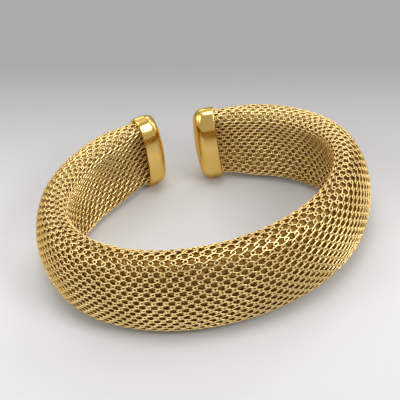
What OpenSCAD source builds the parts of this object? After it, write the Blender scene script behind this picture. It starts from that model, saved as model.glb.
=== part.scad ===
// An open cuff bracelet of wire mesh with a polished cup on each end.
// It lies on its side: the gap is at the back (+Y), the wrist goes through along Z.
// The origin is the middle of the footprint, on the surface that it lies on.

/* [Oval] */
// Width of the centre line of the band, side to side
line_w = 66; // [56:0.5:76]
// Depth of the centre line of the band, front to back
line_d = 49; // [42:0.5:58]
// How far the right arm curls in, and the left arm stands out, from a plain oval
arm_curl = 1.5; // [0:0.05:3]
// How far the oval is skewed towards its front left and its back right
oval_skew = 0.45; // [0:0.05:1.5]
// Open gap between the two end caps
gap_w = 7.8; // [5:0.1:14]
// How far the middle of the gap lies to the right of the middle of the oval
gap_shift = 1.8; // [-4:0.1:4]

/* [Band] */
// Height of the band at the front
front_h = 22.4; // [18:0.1:28]
// Height of the band behind the caps
arm_h = 19.1; // [17:0.1:24]
// Thickness of the band at the front
front_t = 6.2; // [4.8:0.1:8]
// Thickness of the band behind the caps
arm_t = 7.5; // [5:0.1:9]
// How far the band bulges outwards at the front
front_bulge = 3; // [1:0.1:4]
// How far the band bulges outwards behind the caps
arm_bulge = 2.7; // [1:0.1:4]
// How far the band still bulges where it enters the caps
end_bulge = 1.2; // [0.5:0.1:1.8]
// How soon the band changes from its front size to its arm size: 1 is evenly
taper_power = 1.2; // [0.6:0.1:2]
// Length over which the band narrows down into each cap
neck_len = 9.5; // [5:0.5:14]
// Thickness of the woven wall
mesh_wall = 0.9; // [0.6:0.05:1.1]

/* [Core] */
// Space between the woven wall and the core
core_gap = 0.2; // [0.1:0.05:0.4]
// Thickness of the wall of the core
core_wall = 0.4; // [0.3:0.05:0.6]

/* [End caps] */
// Height of a cap
cap_h = 19.8; // [18:0.1:23]
// Thickness of a cap
cap_t = 8.7; // [7.8:0.1:10]
// Length of a cap, from its mouth to the edge of its end face
cap_len = 5; // [4:0.1:8]
// How far the caps stand in towards the wrist from the centre line
cap_inset = 0.5; // [0.2:0.05:0.6]
// Thickness of the side wall of a cap
cap_wall = 0.6; // [0.5:0.05:0.9]
// Thickness of the end of a cap
cap_floor = 1.3; // [0.8:0.1:2]
// Radius of the rounded edge round the end face
cap_edge_r = 1.4; // [0.5:0.1:2]
// Height of the dome on the end face
cap_dome = 0.25; // [0.1:0.05:1]
// How far the end face curves back from its middle to its rims
end_bow = 0.6; // [0:0.05:0.8]
// Width of the broken edge at the mouth
cap_lip = 0.2; // [0.1:0.05:0.3]
// Share by which the long sides of a cap draw in towards its rims
cap_bow = 0.06; // [0:0.01:0.1]
// Space round the band inside a cap
cap_clear = 0.15; // [0.1:0.05:0.3]

/* [Hidden] */

// Number of rings along the band, and of points round each ring of the band and of a cap
band_rings = 53;
band_points = 28;
cap_points = 40;
// Number of steps round the edge of a cap, and rings of its dome as shares of the end face
edge_steps = 5;
dome_shares = [0.66, 0.33];
// Number of halvings in the search for the angle at which the cuff lies at rest
rest_steps = 16;
// Steepest angle that the search tries, in degrees
rest_limit = 8;

// Size of the band inside the caps, where the bulge leans its rims towards the bore's corners
end_h = cap_h - 2 * (cap_wall + cap_clear) - end_bulge / 4;
end_t = cap_t - 2 * (cap_wall + cap_clear + cap_inset) - end_bulge;
// Distance from the edge of a cap's end face to the end of the band inside it
band_start = cap_floor + end_bow + cap_clear;

// The centre line at angle t: 0 is the front, growing to the right and round to the back.
// It is an oval, moved square to itself by a curl that grows along the arms, and by a skew.
function oval_at(t) = [line_w / 2 * sin(t), -line_d / 2 * cos(t)];
function oval_out(t) =
    let (d = [line_d / 2 * sin(t), -line_w / 2 * cos(t)]) d / norm(d);
function centre(t) =
    oval_at(t) + oval_out(t) * (oval_skew * sin(2 * t) - arm_curl * pow(sin(t / 2), 3));
// Direction of the centre line, and the direction square to it that faces outwards
function run(t) = centre(t + 0.5) - centre(t - 0.5);
function out(t) = let (d = run(t) / norm(run(t))) [d.y, -d.x];

// Angle of each end face, and length of the centre line per degree there
t_left = -180 + asin((gap_w / 2 - gap_shift) / (line_w / 2));
t_right = 180 - asin((gap_w / 2 + gap_shift) / (line_w / 2));
rate_left = norm(run(t_left));
rate_right = norm(run(t_right));
// Angle at a distance from the left or right end face, and distance to the nearer end face
function left_at(d) = t_left + d / rate_left;
function right_at(d) = t_right - d / rate_right;
function end_distance(t) = min((t - t_left) * rate_left, (t_right - t) * rate_right);

function mix(a, b, share) = a + (b - a) * share;
function smooth(x) = let (s = min(max(x, 0), 1)) s * s * (3 - 2 * s);

// Height, thickness and bulge of the band at angle t
function band_size(t) =
    let (
        along = abs(2 * (t - t_left) / (t_right - t_left) - 1),
        taper = (1 - cos(180 * pow(along, taper_power))) / 2,
        full = smooth((end_distance(t) - cap_len) / neck_len),
        front = [front_h, front_t, front_bulge],
        arm = [arm_h, arm_t, arm_bulge]
    )
    mix([end_h, end_t, end_bulge], mix(front, arm, taper), full);

// Point on a flat oval with straight sides and round rims, at a share v of the way round it,
// set in square to it. It starts in the middle of the outer side and goes up first.
function rimmed(h, t, inset, v) =
    let (
        quarter = floor(4 * v),
        part = 4 * v - quarter,
        side = (h - t) / 2,
        way = (quarter % 2 == 0 ? part : 1 - part) * (side + PI * t / 4),
        turn = max(way - side, 0) / (t / 2) * 180 / PI,
        x = (t / 2 - inset) * cos(turn),
        z = min(way, side) + (t / 2 - inset) * sin(turn)
    )
    [quarter == 0 || quarter == 3 ? x : -x, quarter < 2 ? z : -z];

// Point of the band's section, set in from its surface, and of a cap's section.
// The band's section bulges outwards in the middle; a cap's sides are bowed.
function band_section(size, inset, v) =
    let (p = rimmed(size[0], size[1], inset, v))
    [p.x + size[2] * (0.5 - pow(2 * p.y / size[0], 2)), p.y];
function cap_section(inset, share, v) =
    let (p = rimmed(cap_h, cap_t, inset, v) * share)
    [p.x * (1 - cap_bow * pow(2 * p.y / cap_h, 2)) - cap_inset, p.y];

// A section point set square to the centre line
function placed(t, p) = let (c = centre(t), n = out(t)) [c.x + n.x * p.x, c.y + n.y * p.x, p.y];

function shares(n) = [for (j = [0 : n - 1]) j / n];
function band_ring(t, inset) =
    let (size = band_size(t))
    [for (v = shares(band_points)) placed(t, band_section(size, inset, v))];

band_angles = [
    for (i = [0 : band_rings - 1])
        mix(left_at(band_start), right_at(band_start), i / (band_rings - 1))
];
function reversed(list) = [for (i = [len(list) - 1 : -1 : 0]) list[i]];
// Rings of a tube along the band: out along its surface and back along its inside
function tube_rings(inset, wall) = concat(
    [for (t = band_angles) band_ring(t, inset)],
    [for (t = reversed(band_angles)) band_ring(t, inset + wall)]
);

// A cap's rings as distance from the end face, inset, share of the section and bow towards the
// rims: the bore from its floor to the mouth, the side, the rounded edge and the dome
cap_rows = concat(
    [
        [cap_floor, cap_wall, 0.5, end_bow],
        [cap_floor, cap_wall, 1, end_bow],
        [cap_len, cap_wall, 1, 0],
        [cap_len, cap_lip, 1, 0],
        [cap_len - cap_lip, 0, 1, 0]
    ],
    [
        for (i = [0 : edge_steps])
            let (a = 90 * i / edge_steps)
            [cap_edge_r * (1 - sin(a)), cap_edge_r * (1 - cos(a)), 1, end_bow]
    ],
    [for (s = dome_shares) [-cap_dome * (1 - s * s), cap_edge_r, s, end_bow]]
);
function cap_rings(side) = [
    for (row = cap_rows) [
        for (v = shares(cap_points))
            let (
                p = cap_section(row[1], row[2], v),
                d = row[0] + row[3] * pow(2 * p.y / cap_h, 2)
            )
            placed(side < 0 ? left_at(d) : right_at(d), p)
    ]
];
// Middle points of the bore's floor and of the dome
function cap_poles(side) = [
    for (d = [cap_floor, -cap_dome])
        placed(side < 0 ? left_at(d) : right_at(d), [-cap_inset, 0])
];

// Two triangles for each cell between ring a and ring b, both of n points
function cells(a, b, n) = [
    for (j = [0 : n - 1], half = [0, 1])
        let (k = (j + 1) % n)
            half == 0 ? [a * n + j, a * n + k, b * n + k] : [a * n + j, b * n + k, b * n + j]
];
function fan(ring, pole, n) = [for (j = [0 : n - 1]) [pole, ring * n + (j + 1) % n, ring * n + j]];
function turned(faces) = [for (f = faces) [f[2], f[1], f[0]]];
function joined(lists) = [for (list = lists) each list];

// A closed solid from rings that lead back to the first one
module ring_loop(rings) {
    n = len(rings[0]);
    count = len(rings);
    polyhedron(joined(rings), joined([for (i = [0 : count - 1]) cells(i, (i + 1) % count, n)]));
}

// A closed solid from rings with a middle point before the first and after the last
module ring_stack(rings, poles, side) {
    n = len(rings[0]);
    count = len(rings);
    faces = concat(
        joined([for (i = [0 : count - 2]) cells(i, i + 1, n)]),
        fan(0, count * n, n),
        turned(fan(count - 1, count * n + 1, n))
    );
    polyhedron(concat(joined(rings), poles), side < 0 ? turned(faces) : faces);
}

// How the cuff lies: it leans back until the front of the band and the back both touch
outer_points = joined(concat(
    [for (t = band_angles) band_ring(t, 0)], cap_rings(-1), cap_rings(1)
));
function leaned(p, a) = [p.x, p.y * cos(a) + p.z * sin(a), p.z * cos(a) - p.y * sin(a)];
front_low = [for (p = outer_points) if (p.y < 0 && p.z < 0) p];
back_low = [for (p = outer_points) if (p.y > 0 && p.z < 0) p];
function lowest(points, a) = min([for (p = points) leaned(p, a).z]);
function rest_angle(low, high, steps) =
    let (a = (low + high) / 2)
    steps == 0 ? a
    : lowest(back_low, a) > lowest(front_low, a) ? rest_angle(a, high, steps - 1)
    : rest_angle(low, a, steps - 1);
rest_tilt = rest_angle(-rest_limit, rest_limit, rest_steps);
rest_points = [for (p = outer_points) leaned(p, rest_tilt)];
function middle(k) =
    let (list = [for (p = rest_points) p[k]]) (min(list) + max(list)) / 2;
rest_shift = [-middle(0), -middle(1), -min([for (p = rest_points) p.z])];

module at_rest() {
    translate(rest_shift) rotate([-rest_tilt, 0, 0]) children();
}

module mesh_sleeve() {
    color([0.83, 0.68, 0.38]) at_rest() ring_loop(tube_rings(0, mesh_wall));
}

module core() {
    color([0.62, 0.45, 0.2]) at_rest() ring_loop(tube_rings(mesh_wall + core_gap, core_wall));
}

module end_cap(side) {
    color([0.86, 0.66, 0.3]) at_rest() ring_stack(cap_rings(side), cap_poles(side), side);
}

module end_cap_left() {
    end_cap(-1);
}

module end_cap_right() {
    end_cap(1);
}

mesh_sleeve();
core();
end_cap_left();
end_cap_right();
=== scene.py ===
"""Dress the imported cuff: woven wires over a smooth core, two polished end caps, a pale studio."""

import logging
import math
from dataclasses import dataclass, field, replace
from enum import Enum

import bpy
import numpy as np
from mathutils import Matrix, Vector


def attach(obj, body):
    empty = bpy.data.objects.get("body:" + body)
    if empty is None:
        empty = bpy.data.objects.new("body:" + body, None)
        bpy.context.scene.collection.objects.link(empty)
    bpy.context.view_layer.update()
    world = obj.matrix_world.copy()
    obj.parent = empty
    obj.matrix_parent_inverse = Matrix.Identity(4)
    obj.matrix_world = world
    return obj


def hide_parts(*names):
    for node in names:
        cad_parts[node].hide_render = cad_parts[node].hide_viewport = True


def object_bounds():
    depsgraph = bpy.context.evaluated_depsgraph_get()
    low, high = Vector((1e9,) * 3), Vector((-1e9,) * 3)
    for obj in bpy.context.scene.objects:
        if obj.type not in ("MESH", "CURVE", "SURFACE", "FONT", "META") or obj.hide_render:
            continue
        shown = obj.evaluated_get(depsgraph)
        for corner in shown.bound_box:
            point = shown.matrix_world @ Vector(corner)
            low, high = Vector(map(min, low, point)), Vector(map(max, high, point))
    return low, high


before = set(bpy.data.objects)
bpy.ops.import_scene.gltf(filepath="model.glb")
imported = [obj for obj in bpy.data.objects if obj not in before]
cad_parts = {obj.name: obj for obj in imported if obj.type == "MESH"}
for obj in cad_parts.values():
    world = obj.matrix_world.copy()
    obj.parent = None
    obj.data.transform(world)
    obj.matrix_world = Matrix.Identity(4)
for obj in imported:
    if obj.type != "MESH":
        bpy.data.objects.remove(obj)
cad_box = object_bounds()

MM = 0.001
TAU = 2 * math.pi
DEGREE = math.radians(1)
BODY = "root"
# Point attribute of the wires: painted light where a wire's side faces outwards, painted shade
# where it faces inwards or lies deep.
SHADE = "painted_lit_side"

Amount = np.ndarray | float
Range = tuple[float, float]
Place = tuple[float, float, float]
Colour = tuple[float, float, float]
Socket = bpy.types.NodeSocket

log = logging.getLogger("mesh_cuff")


def smoothstep(x: np.ndarray) -> np.ndarray:
    """Ease from 0 to 1: three times the square less twice the cube of x, kept within 0 and 1."""
    s = np.clip(x, 0, 1)
    return s * s * (3 - 2 * s)


def mixed(a: np.ndarray, b: np.ndarray, share: np.ndarray) -> np.ndarray:
    """Blend a into b by share, one share for each row of sizes."""
    return a + (b - a) * share[..., None]


def circle(around: int) -> np.ndarray:
    """Give the angles of evenly spaced points once round."""
    return np.arange(around) * TAU / around


@dataclass(frozen=True)
class Plan:
    """Plan of the centre line of the band, in millimetres.

    Angle 0 is the middle of the front; it grows to the right and round to the back.
    """

    width: float = 66.0
    depth: float = 49.0
    arm_curl: float = 1.5
    skew: float = 0.45
    gap: float = 7.8
    gap_shift: float = 1.8

    def at(self, t: np.ndarray) -> np.ndarray:
        """Give points of the centre line.

        An oval (half width times sin t, half depth times minus cos t) is moved along its
        outward normal by skew times sin 2t, less curl times the cube of sin(t / 2).

        Args:
            t: Angles in radians, of any shape.

        Returns:
            Points (x, y) on a last axis of two.
        """
        a, b = self.width / 2, self.depth / 2
        oval = np.stack([a * np.sin(t), -b * np.cos(t)], -1)
        normal = np.stack([b * np.sin(t), -a * np.cos(t)], -1)
        normal /= np.linalg.norm(normal, axis=-1, keepdims=True)
        offset = self.skew * np.sin(2 * t) - self.arm_curl * np.sin(t / 2) ** 3
        return oval + normal * offset[..., None]

    def run(self, t: np.ndarray) -> np.ndarray:
        """Give the step of the centre line over one degree, centred on t."""
        return self.at(t + DEGREE / 2) - self.at(t - DEGREE / 2)

    def out(self, t: np.ndarray) -> np.ndarray:
        """Give the directions in plan that face outwards, square to the centre line.

        Args:
            t: Angles in radians, of any shape.

        Returns:
            Unit directions (x, y) on a last axis of two: the step turned by a right angle.
        """
        step = self.run(t)
        step /= np.linalg.norm(step, axis=-1, keepdims=True)
        return np.stack([step[..., 1], -step[..., 0]], -1)

    @property
    def ends(self) -> tuple[float, float]:
        """Angles of the end faces: half the width times the sine is half the gap, shifted.

        Returns:
            The left and the right angle, in radians.
        """
        half, a = self.gap / 2, self.width / 2
        left = -math.pi + math.asin((half - self.gap_shift) / a)
        right = math.pi - math.asin((half + self.gap_shift) / a)
        return left, right

    @property
    def rates(self) -> tuple[float, float]:
        """Length of centre line per radian at the left and the right end face."""
        left, right = (float(np.linalg.norm(self.run(np.array(e)))) for e in self.ends)
        return left / DEGREE, right / DEGREE

    def end_distance(self, t: np.ndarray) -> np.ndarray:
        """Give millimetres to the nearer end face: the angle left on each side, by its rate."""
        (left, right), (left_rate, right_rate) = self.ends, self.rates
        return np.minimum((t - left) * left_rate, (right - t) * right_rate)

    def placed(self, t: np.ndarray, x: np.ndarray, z: np.ndarray) -> np.ndarray:
        """Set section points square to the centre line.

        Args:
            t: Angles along the centre line.
            x: Outward coordinates.
            z: Upward coordinates.

        Returns:
            Points (x, y, z) on a last axis.
        """
        flat = self.at(t) + self.out(t) * x[..., None]
        z = np.broadcast_to(z, flat.shape[:-1])
        return np.concatenate([flat, z[..., None]], -1)


def rimmed(
    height: Amount, thickness: Amount, inset: Amount, v: np.ndarray
) -> tuple[np.ndarray, np.ndarray]:
    """Give points on a flat oval with straight sides and round rims, set in square to it.

    The share v of a quarter of its perimeter runs up the straight side, then turns round the
    rim by an arc of the same speed. The other quarters mirror the first.

    Args:
        height: Height of the oval.
        thickness: Thickness of the oval, which is twice the radius of its rims.
        inset: How far the points are set in from the oval.
        v: Share of the way round, from the middle of the outer side and up first.

    Returns:
        Outward and upward coordinates.
    """
    quarter = np.floor(4 * (v % 1)).astype(int)
    part = 4 * (v % 1) - quarter
    side, radius = (height - thickness) / 2, thickness / 2
    way = np.where(quarter % 2 == 0, part, 1 - part) * (side + radius * math.pi / 2)
    turn = np.maximum(way - side, 0) / radius
    x = (radius - inset) * np.cos(turn)
    z = np.minimum(way, side) + (radius - inset) * np.sin(turn)
    outer, upper = (quarter == 0) | (quarter == 3), quarter < 2
    return np.where(outer, x, -x), np.where(upper, z, -z)


@dataclass(frozen=True)
class CapShape:
    """Sizes of an end cap, in millimetres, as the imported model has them."""

    height: float = 19.8
    thickness: float = 8.7
    length: float = 5.0
    inset: float = 0.5
    wall: float = 0.6
    floor: float = 1.3
    edge_radius: float = 1.4
    dome: float = 0.25
    end_bow: float = 0.6
    lip: float = 0.2
    side_bow: float = 0.06
    clear: float = 0.15


@dataclass(frozen=True)
class Band:
    """The flattened tube that the mesh follows: its sizes and its surface, in millimetres.

    The front, the arm and the end sizes are height, thickness and bulge.
    """

    plan: Plan = Plan()
    cap: CapShape = CapShape()
    front: tuple[float, float, float] = (22.4, 6.2, 3.0)
    arm: tuple[float, float, float] = (19.1, 7.5, 2.7)
    end_bulge: float = 1.2
    taper_power: float = 1.2
    neck: float = 9.5

    @property
    def end(self) -> tuple[float, float, float]:
        """Sizes inside the caps: the bore of a cap, less the space that the bulge takes up.

        Returns:
            Height, thickness and bulge.
        """
        room = 2 * (self.cap.wall + self.cap.clear)
        height = self.cap.height - room - self.end_bulge / 4
        thickness = self.cap.thickness - room - 2 * self.cap.inset - self.end_bulge
        return height, thickness, self.end_bulge

    @property
    def span(self) -> tuple[float, float]:
        """Angles between which the band runs, from inside one cap to inside the other.

        It starts and stops a clearance away from the bowed floors of the bores.

        Returns:
            The left and the right angle, in radians.
        """
        start = self.cap.floor + self.cap.end_bow + self.cap.clear
        (left, right), (left_rate, right_rate) = self.plan.ends, self.plan.rates
        return left + start / left_rate, right - start / right_rate

    def size(self, t: np.ndarray) -> np.ndarray:
        """Give height, thickness and bulge of the section.

        The front sizes turn into the arm sizes by a half wave of the way along, and both
        narrow to the end sizes over the neck, by a smooth step of the distance to the cap.

        Args:
            t: Angles in radians.

        Returns:
            The three sizes on a last axis.
        """
        left, right = self.plan.ends
        along = np.abs(2 * (t - left) / (right - left) - 1)
        taper = (1 - np.cos(math.pi * along**self.taper_power)) / 2
        full = smoothstep((self.plan.end_distance(t) - self.cap.length) / self.neck)
        front, arm, end = (np.array(s) for s in (self.front, self.arm, self.end))
        return mixed(end, mixed(front, arm, taper), full)

    def surface(self, t: np.ndarray, inset: Amount, v: np.ndarray) -> np.ndarray:
        """Give points of the band, set in from its surface.

        The flat oval of the section bulges outwards by bulge times (a half less the square of
        the height as a share of the half height), and stands square to the centre line.

        Args:
            t: Angles along the band.
            inset: Depth below the surface.
            v: Share of the way round the section.

        Returns:
            Points (x, y, z) on a last axis.
        """
        height, thickness, bulge = np.moveaxis(self.size(t), -1, 0)
        x, z = rimmed(height, thickness, inset, v)
        x = x + bulge * (0.5 - (2 * z / height) ** 2)
        return self.plan.placed(t, x, z)

    def rings(self, count: int, around: int, inset: float) -> np.ndarray:
        """Give the whole band as rings, set in from its surface.

        Args:
            count: Rings along the band.
            around: Points in a ring.
            inset: Depth below the surface.

        Returns:
            Points by ring, point and coordinate.
        """
        along, share = np.linspace(*self.span, count), np.arange(around) / around
        t, v = np.meshgrid(along, share, indexing="ij")
        return self.surface(t, inset, v)


class Side(Enum):
    """Which end of the band a cap closes."""

    LEFT = "left"
    RIGHT = "right"


@dataclass(frozen=True)
class CapSurface:
    """The surface of one end cap as rings from the floor of its bore to the top of its dome.

    The bore shares place the rings of the bore's floor, as shares of its section.
    """

    side: Side
    plan: Plan = Plan()
    shape: CapShape = CapShape()
    bore_shares: tuple[float, ...] = (0.35, 0.7, 0.97, 1.0)
    edge_steps: int = 14
    dome_rings: int = 8

    def rows(self) -> np.ndarray:
        """List the rings in order: bore, mouth with its broken edge, side, round edge, dome.

        The round edge is a quarter circle of the edge radius. The dome falls from its height
        by the square of the share of the section.

        Returns:
            Rows of distance from the end face, inset, share of the section and end bow.
        """
        s = self.shape
        bore = [(s.floor, s.wall, share, s.end_bow) for share in self.bore_shares]
        mouth = [
            (s.length, s.wall, 1, 0),
            (s.length, s.wall - s.lip / 4, 1, 0),
            (s.length, s.lip, 1, 0),
            (s.length - s.lip / 3, s.lip / 3, 1, 0),
            (s.length - s.lip, 0, 1, 0),
            (s.length - 2 * s.lip, 0, 1, 0),
        ]
        edge = [
            (s.edge_radius * (1 - math.sin(a)), s.edge_radius * (1 - math.cos(a)), 1, s.end_bow)
            for a in np.linspace(0, math.pi / 2, self.edge_steps)
        ]
        shares = np.linspace(1, 0, self.dome_rings + 1)[1:-1]
        dome = [(-s.dome * (1 - k * k), s.edge_radius, k, s.end_bow) for k in shares]
        return np.array(bore + mouth + edge + dome)

    def angle(self, distance: np.ndarray) -> np.ndarray:
        """Turn a distance into an angle, by the rate at the end face.

        Args:
            distance: Distances from the end face along the band, in millimetres.

        Returns:
            Angles in radians.
        """
        (left, right), (left_rate, right_rate) = self.plan.ends, self.plan.rates
        if self.side is Side.LEFT:
            return left + distance / left_rate
        return right - distance / right_rate

    def rings(self, around: int) -> np.ndarray:
        """Give the rings of the cap.

        A ring is the flat oval of the cap, set in and shrunk by the row, with its long sides
        drawn in by the side bow and its rims curved back by the end bow, both as squares of
        the height's share.

        Args:
            around: Points in a ring.

        Returns:
            Points in millimetres, by ring, point and coordinate.
        """
        distance, inset, share, bow = (c[:, None] for c in self.rows().T)
        s = self.shape
        x, z = rimmed(s.height, s.thickness, inset, np.arange(around) / around)
        x, z = x * share, z * share
        rise = (2 * z / s.height) ** 2
        x = x * (1 - s.side_bow * rise) - s.inset
        return self.plan.placed(self.angle(distance + bow * rise), x, z)

    def poles(self) -> np.ndarray:
        """Give the points that close the cap.

        Returns:
            The middle of the bore's floor and the top of the dome.
        """
        distance = np.array([self.shape.floor, -self.shape.dome])
        middle = np.full(2, -self.shape.inset)
        return self.plan.placed(self.angle(distance), middle, np.zeros(2))


@dataclass(frozen=True)
class Rest:
    """How the cuff lies: it leans back until front and back both touch the floor."""

    tilt: float
    shift: Place

    @staticmethod
    def leaned(points: np.ndarray, tilt: float) -> np.ndarray:
        """Turn points back about the X axis.

        Args:
            points: Points on a last axis of three.
            tilt: Angle in radians.

        Returns:
            The turned points: y is y cos + z sin, and z is z cos less y sin.
        """
        x, y, z = np.moveaxis(points, -1, 0)
        c, s = math.cos(tilt), math.sin(tilt)
        return np.stack([x, y * c + z * s, z * c - y * s], -1)

    @classmethod
    def found(
        cls, points: np.ndarray, box: tuple[Vector, Vector], most: float = 8.0, halvings: int = 24
    ) -> "Rest":
        """Find the lean by halving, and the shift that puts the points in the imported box.

        The lean is the one at which the front and the back reach down equally low.

        Args:
            points: Outer points of the upright cuff, in millimetres.
            box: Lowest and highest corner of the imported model, in metres.
            most: Most that it can lean either way, in degrees.
            halvings: How often the range is halved.

        Returns:
            The rest place.
        """
        lowest, highest = (np.array(corner) for corner in box)
        front = points[points[:, 1] < 0]
        back = points[points[:, 1] > 0]
        low, high = -math.radians(most), math.radians(most)
        for _ in range(halvings):
            tilt = (low + high) / 2
            back_hangs = cls.leaned(back, tilt)[:, 2].min() > cls.leaned(front, tilt)[:, 2].min()
            low, high = (tilt, high) if back_hangs else (low, tilt)
        lying = cls.leaned(points, tilt)
        shift = (lowest + highest) / 2 / MM - (lying.min(0) + lying.max(0)) / 2
        shift[2] = lowest[2] / MM - lying[:, 2].min()
        return cls(tilt, tuple(shift))

    def __call__(self, points: np.ndarray) -> np.ndarray:
        """Move upright points in millimetres to the rest place, in metres."""
        return (self.leaned(points, self.tilt) + np.array(self.shift)) * MM


def signed_volume(vertices: np.ndarray, quads: np.ndarray, triangles: np.ndarray) -> float:
    """Add up the volume between the faces and the middle; it is negative if they face inwards.

    Args:
        vertices: Points of the mesh.
        quads: Four-sided faces.
        triangles: Three-sided faces.

    Returns:
        The volume, from the sum over triangles of corner a dotted with b cross c, over six.
    """
    parts = np.concatenate([quads[:, [0, 1, 2]], quads[:, [0, 2, 3]], triangles])
    a, b, c = (vertices[parts[:, k]] for k in range(3))
    return float(np.einsum("ij,ij->i", a, np.cross(b, c)).sum() / 6)


@dataclass
class Skin:
    """Closed surfaces of rings, all alike in their counts, that become one mesh.

    Points are by surface, ring, point and coordinate. With poles, which are by surface, end
    and coordinate, each surface is closed by a fan at both ends; without them its last ring
    joins its first. The shade is a value for each point of the rings.
    """

    points: np.ndarray
    poles: np.ndarray | None = None
    shade: np.ndarray | None = None

    def faces(self) -> tuple[np.ndarray, np.ndarray]:
        """Work out the faces: four corners from ring to ring, and fans round the poles.

        Returns:
            Four-sided and three-sided faces, as vertex numbers.
        """
        count, rings, around = self.points.shape[:3]
        ring = np.arange(rings if self.poles is None else rings - 1)
        n, s, k = np.meshgrid(np.arange(count), ring, np.arange(around), indexing="ij")
        ahead, beside = (s + 1) % rings, (k + 1) % around

        def number(row: np.ndarray, column: np.ndarray) -> np.ndarray:
            """Number a vertex by its ring and its place in the ring."""
            return (n * rings + row) * around + column

        corners = [number(s, k), number(ahead, k), number(ahead, beside), number(s, beside)]
        quads = np.stack([c.ravel() for c in corners], -1)
        if self.poles is None:
            return quads, np.zeros((0, 3), int)
        n, k = np.meshgrid(np.arange(count), np.arange(around), indexing="ij")
        base, beside = count * rings * around, (k + 1) % around
        first, last = n * rings * around, (n * rings + rings - 1) * around
        start = [base + 2 * n, first + k, first + beside]
        stop = [base + 2 * n + 1, last + beside, last + k]
        fans = [np.stack([c.ravel() for c in fan], -1) for fan in (start, stop)]
        return quads, np.concatenate(fans)

    def mesh(self, name: str) -> bpy.types.Mesh:
        """Make the mesh, with its faces outwards.

        Args:
            name: Name of the mesh.

        Returns:
            The mesh, smooth shaded, with the shade as a point attribute where there is one.
        """
        vertices = self.points.reshape(-1, 3)
        if self.poles is not None:
            vertices = np.concatenate([vertices, self.poles.reshape(-1, 3)])
        quads, triangles = self.faces()
        if signed_volume(vertices, quads, triangles) < 0:
            quads, triangles = quads[:, ::-1], triangles[:, ::-1]
        mesh = bpy.data.meshes.new(name)
        mesh.vertices.add(len(vertices))
        mesh.vertices.foreach_set("co", vertices.ravel())
        corners = np.concatenate([quads.ravel(), triangles.ravel()])
        mesh.loops.add(len(corners))
        mesh.loops.foreach_set("vertex_index", corners)
        sides = np.concatenate([np.full(len(quads), 4), np.full(len(triangles), 3)])
        mesh.polygons.add(len(sides))
        mesh.polygons.foreach_set("loop_start", np.cumsum(sides) - sides)
        mesh.polygons.foreach_set("use_smooth", np.ones(len(sides), bool))
        mesh.update(calc_edges=True)
        if self.shade is not None:
            values = np.zeros(len(vertices), np.float32)
            values[: self.shade.size] = self.shade.ravel()
            layer = mesh.attributes.new(SHADE, "FLOAT", "POINT")
            layer.data.foreach_set("value", values)
        return mesh


def swept(
    path: np.ndarray, upward: np.ndarray, radii: tuple[float, float], around: int
) -> np.ndarray:
    """Carry an oval round closed paths.

    A ring is the cosine of its turn times the side direction, which is the path cross the
    upward direction, plus the sine times the direction square to both.

    Args:
        path: Points by path, step and coordinate.
        upward: Directions that the rings are turned by, of the same shape.
        radii: Radius of the oval to the side, and upwards.
        around: Points round the oval.

    Returns:
        Points by path, ring, point and coordinate.
    """
    forward = np.roll(path, -1, 1) - np.roll(path, 1, 1)
    forward /= np.linalg.norm(forward, axis=-1, keepdims=True)
    side = np.cross(forward, upward)
    side /= np.linalg.norm(side, axis=-1, keepdims=True)
    top = np.cross(side, forward)
    across, upright = (r * f(circle(around))[:, None] for r, f in zip(radii, (np.cos, np.sin)))
    return path[:, :, None] + side[:, :, None] * across + top[:, :, None] * upright


@dataclass(frozen=True)
class Relief:
    """Fine unevenness of a surface: waves per metre, detail, depth in metres and strength."""

    scale: float
    detail: float
    depth: float
    strength: float


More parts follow.
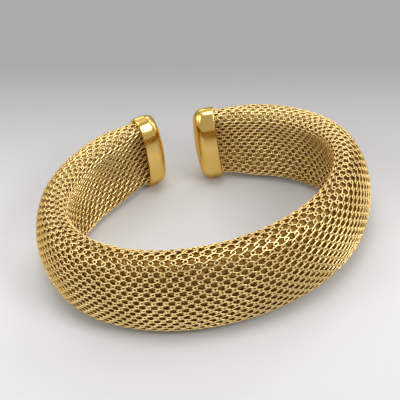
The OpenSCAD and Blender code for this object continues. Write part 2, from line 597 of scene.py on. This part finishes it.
class Shader:
    """A node tree under construction: short calls that add and join nodes.

    The grazing gold is the plating's tone at grazing angles, and the noise middle is where
    nearly all of a noise's values lie.
    """

    grazing_gold: tuple[float, float, float, float] = (0.90, 0.68, 0.38, 1.0)
    noise_middle: Range = (0.3, 0.7)

    def __init__(self, name: str) -> None:
        """Start a material with a Principled shader.

        Args:
            name: Name of the material.
        """
        self.material = bpy.data.materials.new(name)
        self.material.use_nodes = True
        self.nodes = self.material.node_tree.nodes
        self.surface = next(n for n in self.nodes if n.type == "BSDF_PRINCIPLED")

    def add(self, kind: str, **values: object) -> bpy.types.Node:
        """Add a node and set its own values.

        Args:
            kind: The node's type.
            **values: The node's properties by name.

        Returns:
            The node.
        """
        node = self.nodes.new(kind)
        for key, value in values.items():
            setattr(node, key, value)
        return node

    def join(self, source: Socket, target: Socket) -> None:
        """Join two sockets."""
        self.material.node_tree.links.new(source, target)

    def place(self) -> Socket:
        """Give the object coordinates."""
        return self.add("ShaderNodeTexCoord").outputs["Object"]

    def noise(self, scale: float, detail: float = 3.0) -> Socket:
        """Give noise on the object coordinates.

        Args:
            scale: Waves per metre.
            detail: How many finer waves are added.

        Returns:
            A value from 0 to 1, mostly near a half.
        """
        node = self.add("ShaderNodeTexNoise")
        node.inputs["Scale"].default_value = scale
        node.inputs["Detail"].default_value = detail
        self.join(self.place(), node.inputs["Vector"])
        return node.outputs["Fac"]

    def stretched(self, value: Socket, old: Range, new: Range = (0.0, 1.0)) -> Socket:
        """Stretch one range of a value over another, and keep it inside.

        Args:
            value: The value.
            old: Ends of its own range.
            new: Ends of the range that it is stretched over.

        Returns:
            The stretched value.
        """
        node = self.add("ShaderNodeMapRange")
        ends = zip(("From Min", "From Max", "To Min", "To Max"), (*old, *new))
        for name, end in ends:
            node.inputs[name].default_value = end
        self.join(value, node.inputs["Value"])
        return node.outputs["Result"]

    def along(self, way: Place, start: float, end: float) -> Socket:
        """Give how far the object coordinates have come along a direction.

        Args:
            way: The direction; the coordinates are dotted with it.
            start: Where the value is 0, in metres.
            end: Where it is 1.

        Returns:
            A value from 0 to 1.
        """
        reached = self.add("ShaderNodeVectorMath", operation="DOT_PRODUCT")
        reached.inputs[1].default_value = way
        self.join(self.place(), reached.inputs[0])
        return self.stretched(reached.outputs["Value"], (start, end))

    def paint(self, value: Socket, stops: list[tuple[float, Colour]]) -> None:
        """Colour the surface by a value.

        Args:
            value: The value that chooses the colour.
            stops: Places from 0 to 1 with their colours.
        """
        node = self.add("ShaderNodeValToRGB")
        band = node.color_ramp
        while len(band.elements) < len(stops):
            band.elements.new(0.5)
        for element, (place, colour) in zip(band.elements, stops):
            element.position = place
            element.color = (*colour, 1)
        self.join(value, node.inputs["Fac"])
        self.join(node.outputs["Color"], self.surface.inputs["Base Color"])

    def plate(self, patches: Socket, roughness: Range, relief: Relief) -> None:
        """Make the surface a gold plating, gold at grazing angles too.

        Args:
            patches: Noise that the roughness follows.
            roughness: Roughness where the noise is low and where it is high.
            relief: Fine unevenness of the plating.
        """
        self.surface.inputs["Metallic"].default_value = 1.0
        self.surface.inputs["Specular Tint"].default_value = self.grazing_gold
        spread = self.stretched(patches, self.noise_middle, roughness)
        self.join(spread, self.surface.inputs["Roughness"])
        node = self.add("ShaderNodeBump")
        node.inputs["Distance"].default_value = relief.depth
        node.inputs["Strength"].default_value = relief.strength
        self.join(self.noise(relief.scale, relief.detail), node.inputs["Height"])
        self.join(node.outputs["Normal"], self.surface.inputs["Normal"])


@dataclass(frozen=True)
class WireFinish:
    """Bright drawn wire, plated gold, with painted light on its outward sides and painted
    shade on its inward sides and deeper strands.
    """

    # The first colour is painted light on the sides that face outwards, the second painted shade on
    # the sides that face inwards and on deeper strands.
    painted_lit_side: Colour = (1.0, 0.775, 0.37)
    painted_shade: Colour = (0.56, 0.33, 0.065)
    painted_shade_to: float = 0.35
    painted_lit_from: float = 0.90
    patch_scale: float = 420.0
    roughness: Range = (0.11, 0.20)
    relief: Relief = Relief(scale=2400.0, detail=1.0, depth=1.2e-5, strength=0.3)

    def material(self) -> bpy.types.Material:
        """Make the material: the shade of each point chooses between painted light and shade.

        Returns:
            The material of the wires.
        """
        shader = Shader("wire_gold")
        shade = shader.add("ShaderNodeAttribute", attribute_name=SHADE).outputs["Fac"]
        shader.paint(shade, [(self.painted_shade_to, self.painted_shade), (self.painted_lit_from, self.painted_lit_side)])
        shader.plate(shader.noise(self.patch_scale), self.roughness, self.relief)
        return shader.material


@dataclass(frozen=True)
class CoreFinish:
    """The springy form under the mesh: a duller gold, browner at the front by painted shade
    and paler in the arms by painted light.

    It turns from one into the other between front_to and arms_from, in metres towards the
    back. Its patches and its relief are finer than the cells that it is seen through.
    """

    dark: Colour = (0.16, 0.075, 0.013)
    light: Colour = (0.32, 0.17, 0.037)
    # Painted light: the paler colour that the core turns to in the arms.
    arms: Colour = (0.64, 0.50, 0.19)
    dark_to: float = 0.35
    light_at: float = 0.65
    painted_arm_light: float = 0.45
    back: Place = (0.0, 1.0, 0.0)
    front_to: float = -0.012
    arms_from: float = 0.012
    patch_scale: float = 1500.0
    roughness: Range = (0.45, 0.35)
    relief: Relief = Relief(scale=2000.0, detail=1.0, depth=4e-4, strength=1.0)

    def material(self) -> bpy.types.Material:
        """Make the material: patches of two colours, made paler towards the arms by painted light.

        The tone is the noise plus the way from front to arms times the painted light of the arms.

        Returns:
            The material of the core.
        """
        shader = Shader("core_gold")
        patches = shader.noise(self.patch_scale)
        tone = shader.add("ShaderNodeMath", operation="MULTIPLY_ADD")
        tone.inputs[1].default_value = self.painted_arm_light
        # Painted shade at the front, turning to painted light in the arms.
        way = shader.along(self.back, self.front_to, self.arms_from)
        shader.join(way, tone.inputs[0])
        shader.join(patches, tone.inputs[2])
        stops = [(self.dark_to, self.dark), (self.light_at, self.light), (1.0, self.arms)]
        shader.paint(tone.outputs["Value"], stops)
        shader.plate(patches, self.roughness, self.relief)
        return shader.material


@dataclass(frozen=True)
class CapFinish:
    """Mirror-polished gold with faint smudges, a little uneven from the polishing."""

    deep: Colour = (0.82, 0.54, 0.14)
    light: Colour = (0.90, 0.62, 0.20)
    deep_to: float = 0.35
    light_from: float = 0.65
    smudge_scale: float = 160.0
    roughness: Range = (0.10, 0.18)
    relief: Relief = Relief(scale=650.0, detail=2.0, depth=2e-5, strength=0.35)

    def material(self) -> bpy.types.Material:
        """Make the material: smudges shift both the tone and the roughness.

        Returns:
            The material of both caps.
        """
        shader = Shader("cap_gold")
        smudges = shader.noise(self.smudge_scale)
        shader.paint(smudges, [(self.deep_to, self.deep), (self.light_from, self.light)])
        shader.plate(smudges, self.roughness, self.relief)
        return shader.material


@dataclass(frozen=True)
class FloorFinish:
    """Matt pale paper, darkened by painted shade towards the back, and a little to the right.

    The first tone lies at near_at and the last one at far_at, in metres along away.
    """

    # Painted shade: greys from near to far that darken the floor towards the back.
    painted_shade_tones: tuple[float, ...] = (0.62, 0.67, 0.71, 0.50, 0.30)
    away: Place = (0.432, 0.902, 0.0)
    near_at: float = -0.06
    far_at: float = 0.06
    roughness: float = 0.9
    gloss: float = 0.1

    def material(self) -> bpy.types.Material:
        """Make the material: painted shade as evenly spaced greys along one direction of the floor.

        Returns:
            The material of the floor.
        """
        shader = Shader("floor_paper")
        last = len(self.painted_shade_tones) - 1
        stops = [(k / last, (tone, tone, tone)) for k, tone in enumerate(self.painted_shade_tones)]
        shader.paint(shader.along(self.away, self.near_at, self.far_at), stops)
        shader.surface.inputs["Roughness"].default_value = self.roughness
        shader.surface.inputs["Specular IOR Level"].default_value = self.gloss
        return shader.material


def shown(name: str, mesh: bpy.types.Mesh, finish: bpy.types.Material) -> bpy.types.Object:
    """Put a dressed mesh into the scene.

    Args:
        name: Name of the piece.
        mesh: Its mesh.
        finish: Its material.

    Returns:
        The piece.
    """
    mesh.materials.append(finish)
    piece = bpy.data.objects.new(name, mesh)
    bpy.context.scene.collection.objects.link(piece)
    return piece


def kept(piece: bpy.types.Object, node: str) -> None:
    """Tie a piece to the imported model, and report it.

    Args:
        piece: The piece, which rides on the cuff's one body.
        node: The node that it stands for.
    """
    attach(piece, BODY)
    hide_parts(node)
    log.info("%s: %d faces, for %s", piece.name, len(piece.data.polygons), node)


class Stretch(Enum):
    """Stretches of the band that the wires are grouped by, from left to right."""

    LEFT_ARM = 0
    FRONT_LEFT = 1
    FRONT_RIGHT = 2
    RIGHT_ARM = 3


@dataclass
class MeshSleeve:
    """The woven mesh: flattened coils of wire round the section, each hooked into the next.

    The waves are cells per degree of the plan, at the front and at the back. Reach is how far
    a wire swings along the band, in radians of the cells' phase, and square is how far its
    hooks are squared off. Middle, lift and radii are in millimetres, and dulled is the share
    of painted shade that deeper strands take.
    """

    band: Band
    rest: Rest
    rows: int = 44
    front_waves: float = 0.222
    end_waves: float = 0.288
    reach: float = 2.95
    square: float = 0.14
    middle: float = 0.34
    lift: float = 0.06
    radii: tuple[float, float] = (0.175, 0.14)
    painted_depth_shade: float = 0.25
    steps: int = 16
    around: int = 6
    samples: int = 4001
    finish: WireFinish = field(default_factory=WireFinish)

    def waves(self) -> tuple[np.ndarray, np.ndarray]:
        """Give finely stepped phases along the band, and the angle at each.

        Cells per degree grow with the square of the angle, from the front to the back, so the
        phase, a full turn for each cell, is their integral.

        Returns:
            Phases in radians and angles in radians.
        """
        t = np.linspace(*self.band.span, self.samples)
        share = np.degrees(t) / 180
        cube = (self.end_waves - self.front_waves) * share**3 / 3
        return TAU * (self.front_waves * share + cube) * 180, t

    def coils(self, stretch: Stretch) -> Skin:
        """Bend the wires of one stretch.

        A wire goes once round the section while it swings along the band: its phase is its
        own, plus reach times (the cosine of its turn, less blunt times the cosine of three
        times the turn). Blunt squares the hooks off: it is nothing at the front and grows
        with the angle, to square at the back. The wire's depth is the middle plus lift times
        the sine of the turn, which flattens the coil. Wires are half a cell apart and turned
        half a turn, so that each hooks both its neighbours. The shade is painted light and
        shade: it is one where the wire's side faces outwards, nothing where it faces inwards,
        and less where the wire lies deep.

        Args:
            stretch: Which wires to bend.

        Returns:
            The tubes of the wires, each closed in a ring.
        """
        phases, angles = self.waves()
        own = np.arange(phases[0] + self.reach, phases[-1] - self.reach, math.pi)
        wire = np.array_split(np.arange(len(own)), len(Stretch))[stretch.value][:, None]
        turns = self.rows // 2
        share = np.arange(turns * self.steps)[None] / (turns * self.steps)
        turn = TAU * share * turns + math.pi * wire
        blunt = self.square * np.abs(np.interp(own[wire], phases, angles)) / math.pi
        swing = np.cos(turn) - blunt * np.cos(3 * turn)
        t = np.interp(own[wire] + self.reach * swing, phases, angles)
        v = np.broadcast_to(share, t.shape)
        inset = self.middle + self.lift * np.sin(turn)
        path = self.band.surface(t, inset, v)
        upward = path - self.band.surface(t, inset + self.radii[1], v)
        tubes = swept(path, upward, self.radii, self.around)
        # Painted light on each wire's outward side, painted shade on its inward side and on deeper
        # strands.
        painted_lit_side = (1 + np.sin(circle(self.around))) / 2
        shade = painted_lit_side * (1 - self.painted_depth_shade * (1 + np.sin(turn))[..., None] / 2)
        return Skin(self.rest(tubes), shade=shade)

    def build(self) -> None:
        """Make and dress one piece for each stretch of the band."""
        material = self.finish.material()
        for stretch in Stretch:
            name = f"wires_{stretch.name.lower()}"
            piece = shown(name, self.coils(stretch).mesh(name), material)
            kept(piece, "mesh_sleeve")


@dataclass
class Core:
    """The smooth hollow form under the mesh, at a depth under the mesh's outer surface."""

    band: Band
    rest: Rest
    depth: float = 0.66
    wall: float = 0.4
    count: int = 160
    around: int = 64
    finish: CoreFinish = field(default_factory=CoreFinish)

    def skin(self) -> Skin:
        """Run the surface along the outside of the core and back along its inside.

        Returns:
            One closed surface, whose last ring joins its first.
        """
        outside = self.band.rings(self.count, self.around, self.depth)
        inside = self.band.rings(self.count, self.around, self.depth + self.wall)
        return Skin(self.rest(np.concatenate([outside, inside[::-1]]))[None])

    def build(self) -> None:
        """Make and dress the core."""
        piece = shown("core_form", self.skin().mesh("core_form"), self.finish.material())
        kept(piece, "core")


@dataclass
class EndCap:
    """A polished cup that holds one end of the mesh."""

    surface: CapSurface
    rest: Rest
    around: int = 128

    def build(self, polish: bpy.types.Material) -> None:
        """Make the cup from its rings, and dress it.

        Args:
            polish: The polished gold that both caps share.
        """
        side = self.surface.side.value
        name = f"cap_{side}"
        rings = self.rest(self.surface.rings(self.around))
        skin = Skin(rings[None], self.rest(self.surface.poles())[None])
        piece = shown(name, skin.mesh(name), polish)
        kept(piece, f"end_cap_{side}")


@dataclass
class Bracelet:
    """The whole cuff: band, mesh, core and caps in one rest place.

    The caps shown are drawn in more at their long sides, and are rounder at their edge, than
    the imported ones, as the photograph's reflections ask for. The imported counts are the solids'
    own, since their points settle how the cuff lies.
    """

    band: Band = field(default_factory=Band)
    cap_side_bow: float = 0.40
    cap_edge_radius: float = 2.2
    packed_rings: int = 53
    packed_around: int = 28
    packed_cap_around: int = 40

    def rest(self) -> Rest:
        """Find how the cuff lies, from the points on the outside that the solids have.

        Returns:
            The rest place.
        """
        points = [self.band.rings(self.packed_rings, self.packed_around, 0.0)]
        for side in Side:
            surface = CapSurface(side, self.band.plan, self.band.cap)
            points.append(surface.rings(self.packed_cap_around))
        return Rest.found(np.concatenate([p.reshape(-1, 3) for p in points]), cad_box)

    def build(self, rest: Rest) -> None:
        """Make the pieces in order, from the inside out.

        Args:
            rest: How the cuff lies.
        """
        log.info("leans back %.2f degrees", math.degrees(rest.tilt))
        Core(self.band, rest).build()
        MeshSleeve(self.band, rest).build()
        polish = CapFinish().material()
        shape = replace(
            self.band.cap, side_bow=self.cap_side_bow, edge_radius=self.cap_edge_radius
        )
        for side in Side:
            EndCap(CapSurface(side, self.band.plan, shape), rest).build(polish)


@dataclass(frozen=True)
class SoftBox:
    """A square white lamp that faces the cuff: place and size in metres, power in watts."""

    name: str
    place: Place
    size: float
    power: float

    def build(self) -> None:
        """Put the lamp into the scene, turned from its place towards the origin."""
        lamp = bpy.data.lights.new(self.name, "AREA")
        lamp.size = self.size
        lamp.energy = self.power
        stand = bpy.data.objects.new(self.name, lamp)
        stand.location = self.place
        stand.rotation_euler = Vector(self.place).to_track_quat("Z", "Y").to_euler()
        bpy.context.scene.collection.objects.link(stand)


@dataclass
class Studio:
    """A pale floor, a soft surround and a few large lamps."""

    floor_half: float = 1.5
    surround: float = 0.50
    lamps: tuple[SoftBox, ...] = (
        SoftBox("lamp_high", (0.0, -0.10, 2.10), 0.8, 11.0),
        SoftBox("lamp_top", (0.0, 0.70, 2.00), 2.4, 6.0),
        SoftBox("lamp_key", (1.00, -1.30, 1.50), 0.8, 17.0),
        SoftBox("lamp_left", (-1.80, 0.0, 1.40), 0.9, 9.0),
        SoftBox("lamp_right", (1.80, 0.0, 1.40), 0.9, 3.0),
        SoftBox("lamp_low_right", (1.90, -0.20, 0.55), 0.6, 3.5),
        SoftBox("lamp_back", (0.0, 2.00, 0.60), 0.9, 6.0),
        SoftBox("lamp_back_left", (-1.80, 0.90, 0.60), 0.9, 4.5),
        SoftBox("lamp_back_right", (1.20, 1.20, 1.20), 0.8, 5.5),
    )

    def floor(self) -> None:
        """Lay the floor, a plain square of paper."""
        half = self.floor_half
        corners = [(-half, -half, 0), (half, -half, 0), (half, half, 0), (-half, half, 0)]
        mesh = bpy.data.meshes.new("floor")
        mesh.from_pydata(corners, [], [(0, 1, 2, 3)])
        shown("floor", mesh, FloorFinish().material())

    def air(self) -> None:
        """Light the scene evenly from all round."""
        world = bpy.data.worlds.new("surround")
        bpy.context.scene.world = world
        world.use_nodes = True
        background = world.node_tree.nodes["Background"]
        background.inputs["Color"].default_value = (1, 1, 1, 1)
        background.inputs["Strength"].default_value = self.surround

    def build(self) -> None:
        """Lay the floor and light it, with colours shown as they are."""
        self.floor()
        self.air()
        for lamp in self.lamps:
            lamp.build()
        bpy.context.scene.view_settings.view_transform = "Standard"


@dataclass(frozen=True)
class Camera:
    """The camera at the photograph's viewing angle, over the front left of the cuff.

    Distance and aim are in millimetres, the aim from the middle of the upright cuff.
    """

    azimuth: float = math.radians(14.194)
    elevation: float = math.radians(43.756)
    roll: float = math.radians(-7.954)
    distance: float = 650.07
    aim: Place = (-0.575, 2.121, 2.0)
    lens: float = 263.87
    sensor: float = 36.0
    nearest: float = 0.05
    farthest: float = 10.0

    def build(self, shift: Place) -> None:
        """Place the camera: it looks along the azimuth and down, turned by the roll.

        Args:
            shift: The cuff's shift to its rest place, in millimetres.
        """
        sa, ca = math.sin(self.azimuth), math.cos(self.azimuth)
        se, ce = math.sin(self.elevation), math.cos(self.elevation)
        forward = Vector((sa * ce, ca * ce, -se))
        right = Vector((ca, -sa, 0))
        up = right.cross(forward)
        sr, cr = math.sin(self.roll), math.cos(self.roll)
        across, upright = right * cr + up * sr, up * cr - right * sr
        lens = bpy.data.cameras.new("camera")
        lens.lens, lens.sensor_width = self.lens, self.sensor
        lens.clip_start, lens.clip_end = self.nearest, self.farthest
        stand = bpy.data.objects.new("camera", lens)
        place = Vector(self.aim) + Vector(shift) - forward * self.distance
        turn = Matrix((across, upright, -forward)).transposed()
        stand.matrix_world = Matrix.Translation(place * MM) @ turn.to_4x4()
        bpy.context.scene.collection.objects.link(stand)
        bpy.context.scene.camera = stand


def main() -> None:
    """Build the bracelet, the studio and the camera."""
    logging.basicConfig(level=logging.INFO, format="%(name)s: %(message)s")
    bracelet = Bracelet()
    rest = bracelet.rest()
    bracelet.build(rest)
    Studio().build()
    Camera().build(rest.shift)


if __name__ == "__main__":
    main()
